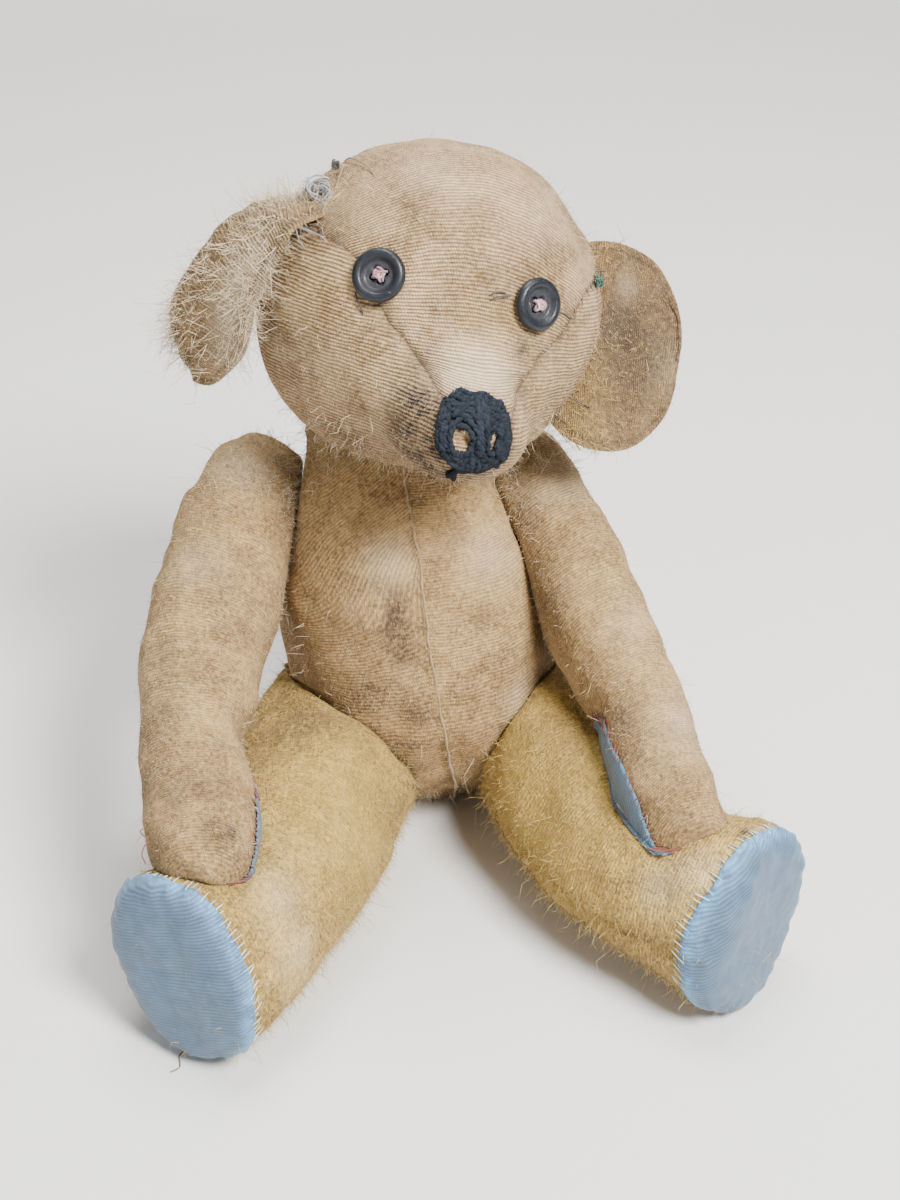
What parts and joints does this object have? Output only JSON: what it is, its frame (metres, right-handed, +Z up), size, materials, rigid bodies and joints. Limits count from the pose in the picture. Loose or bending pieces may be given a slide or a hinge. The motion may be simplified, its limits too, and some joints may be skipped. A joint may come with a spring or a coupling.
{
  "type": "jointed teddy bear",
  "caption": "Threadbare jointed teddy bear sitting with its legs forward, with button eyes and cloth pads on its paws and feet.",
  "frame": {"origin": "on the floor, in the flat under the seat", "axes": "+Z up, the bear faces -Y, +X to the side of its own left hand"},
  "size_m": [0.2242, 0.2171, 0.2441],
  "materials": {
    "plush": "worn mohair plush, bare to its backing",
    "leg_plush": "worn golden mohair plush",
    "pad_cloth": "ribbed grey-blue satin, faded",
    "button": "glossy black four-hole button",
    "thread": "dusty pink cotton thread",
    "yarn": "blue-black wool yarn",
    "board": "plain pressed board",
    "steel": "dull steel"
  },
  "bodies": {
    "torso": {"torso": "plush", "neck_torso_disc": "board", "neck_torso_washer": "steel", "neck_split_pin": "steel", "left_hip_torso_disc": "board", "left_hip_torso_washer": "steel", "left_hip_split_pin": "steel", "left_shoulder_torso_disc": "board", "left_shoulder_torso_washer": "steel", "left_shoulder_split_pin": "steel", "right_hip_torso_disc": "board", "right_hip_torso_washer": "steel", "right_hip_split_pin": "steel", "right_shoulder_torso_disc": "board", "right_shoulder_torso_washer": "steel", "right_shoulder_split_pin": "steel"},
    "head": {"head": "plush", "neck_head_disc": "board", "neck_head_washer": "steel", "left_ear": "plush", "left_eye_button": "button", "left_eye_thread": "thread", "right_ear": "plush", "right_eye_button": "button", "right_eye_thread": "thread", "nose_stitching": "yarn"},
    "left_arm": {"left_arm": "plush", "left_paw_pad": "pad_cloth", "left_shoulder_arm_disc": "board", "left_shoulder_arm_washer": "steel"},
    "right_arm": {"right_arm": "plush", "right_paw_pad": "pad_cloth", "right_shoulder_arm_disc": "board", "right_shoulder_arm_washer": "steel"},
    "left_leg": {"left_leg": "leg_plush", "left_foot_pad": "pad_cloth", "left_hip_leg_disc": "board", "left_hip_leg_washer": "steel"},
    "right_leg": {"right_leg": "leg_plush", "right_foot_pad": "pad_cloth", "right_hip_leg_disc": "board", "right_hip_leg_washer": "steel"}
  },
  "joints": [
    {"name": "neck_turn", "type": "hinge", "parent": "torso", "child": "head", "pos_m": [-0.013, 0.003, 0.147], "axis": [0.2756, 0, 0.9613], "range_deg": [-40, 40]},
    {"name": "left_shoulder_swing", "type": "hinge", "parent": "torso", "child": "left_arm", "pos_m": [0.0215, -0.001, 0.11], "axis": [-0.9649, -0.2228, -0.1392], "range_deg": [0, 32]},
    {"name": "right_shoulder_swing", "type": "hinge", "parent": "torso", "child": "right_arm", "pos_m": [-0.0465, -0.001, 0.11], "axis": [-0.9806, 0.1378, 0.1392], "range_deg": [0, 55]},
    {"name": "left_hip_swing", "type": "hinge", "parent": "torso", "child": "left_leg", "pos_m": [0.0215, -0.016, 0.037], "axis": [0.8517, 0.31, -0.4226], "range_deg": [0, 30]},
    {"name": "right_hip_swing", "type": "hinge", "parent": "torso", "child": "right_leg", "pos_m": [-0.0135, -0.016, 0.037], "axis": [0.8343, -0.3541, 0.4226], "range_deg": [0, 30]}
  ]
}
